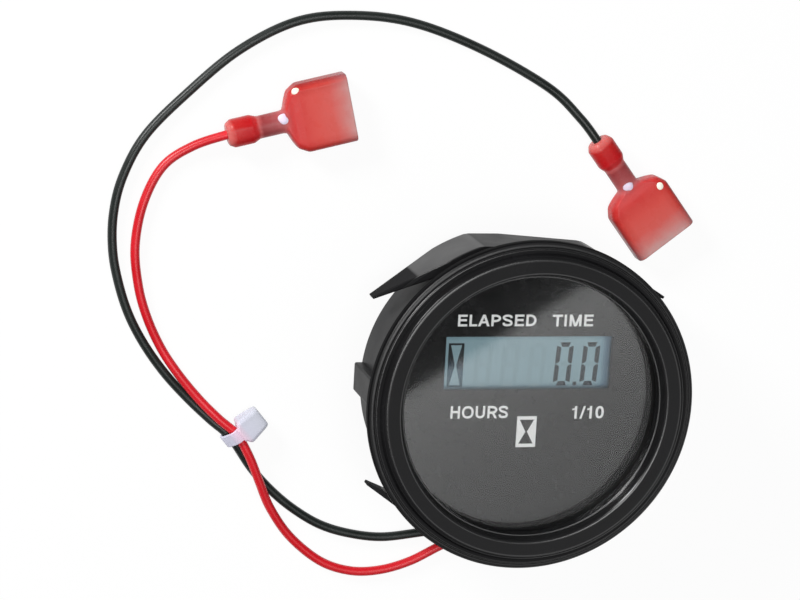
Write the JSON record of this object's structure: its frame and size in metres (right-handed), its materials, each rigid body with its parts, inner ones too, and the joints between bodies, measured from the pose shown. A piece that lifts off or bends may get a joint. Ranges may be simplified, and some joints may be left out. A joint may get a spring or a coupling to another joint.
{
  "type": "hour meter",
  "caption": "Round snap-in panel hour meter with a liquid-crystal display, spring fingers on its can, and flying leads ending in push-on terminals.",
  "frame": {"origin": "centre of the rear rim, where the meter stands on its back", "axes": "+Z out of the face along the meter's axis, +X along the reading direction of the dial, +Y to the top of the dial"},
  "size_m": [0.1039, 0.1011, 0.0222],
  "materials": {
    "case_plastic": "fine moulded black plastic with a soft sheen",
    "bezel_plastic": "smooth black plastic, satin gloss",
    "lens_clear": "clear polished plastic window",
    "seal_rubber": "soft black rubber",
    "dial_black": "matt black printed face",
    "lcd_glass": "clear display glass with a grey-green cast",
    "reflector_film": "pale satin film",
    "holder_plastic": "natural white moulding",
    "strip_rubber": "layered grey conductive rubber",
    "board_green": "green solder mask over glass fibre",
    "chip_black": "black moulded package with tinned legs",
    "bright_can": "bright drawn can",
    "disc_blue": "dipped blue coating",
    "resistor_tan": "tan lacquer on tinned wires",
    "cell_steel": "plain nickel-plated steel",
    "solder": "smooth solder",
    "screw_steel": "zinc-plated steel",
    "lead_black": "smooth black lead insulation",
    "lead_red": "smooth red lead insulation",
    "tie_nylon": "milky natural nylon",
    "sleeve_red": "translucent red moulded sleeve",
    "contact_brass": "tin-plated brass sheet"
  },
  "bodies": {
    "root": {"case": "case_plastic", "bezel_ring": "bezel_plastic", "lens": "lens_clear", "lens_gasket": "seal_rubber", "dial_plate": "dial_black", "lcd_front_glass": "lcd_glass", "lcd_rear_glass": "lcd_glass", "lcd_reflector": "reflector_film", "lcd_holder": "holder_plastic", "contact_strips": "strip_rubber", "circuit_board": "board_green", "controller_chip": "chip_black", "quartz_crystal": "bright_can", "filter_capacitor": "bright_can", "rectifier": "chip_black", "surge_disc": "disc_blue", "dropping_resistors": "resistor_tan", "lithium_cell": "cell_steel", "cell_tabs": "cell_steel", "lead_joints": "solder", "board_screws": "screw_steel", "back_cover": "case_plastic", "lead_grommet": "seal_rubber", "black_lead": "lead_black", "red_lead": "lead_red", "cable_tie": "tie_nylon", "black_terminal_sleeve": "sleeve_red", "red_terminal_sleeve": "sleeve_red", "black_terminal_contact": "contact_brass", "red_terminal_contact": "contact_brass"}
  },
  "joints": []
}
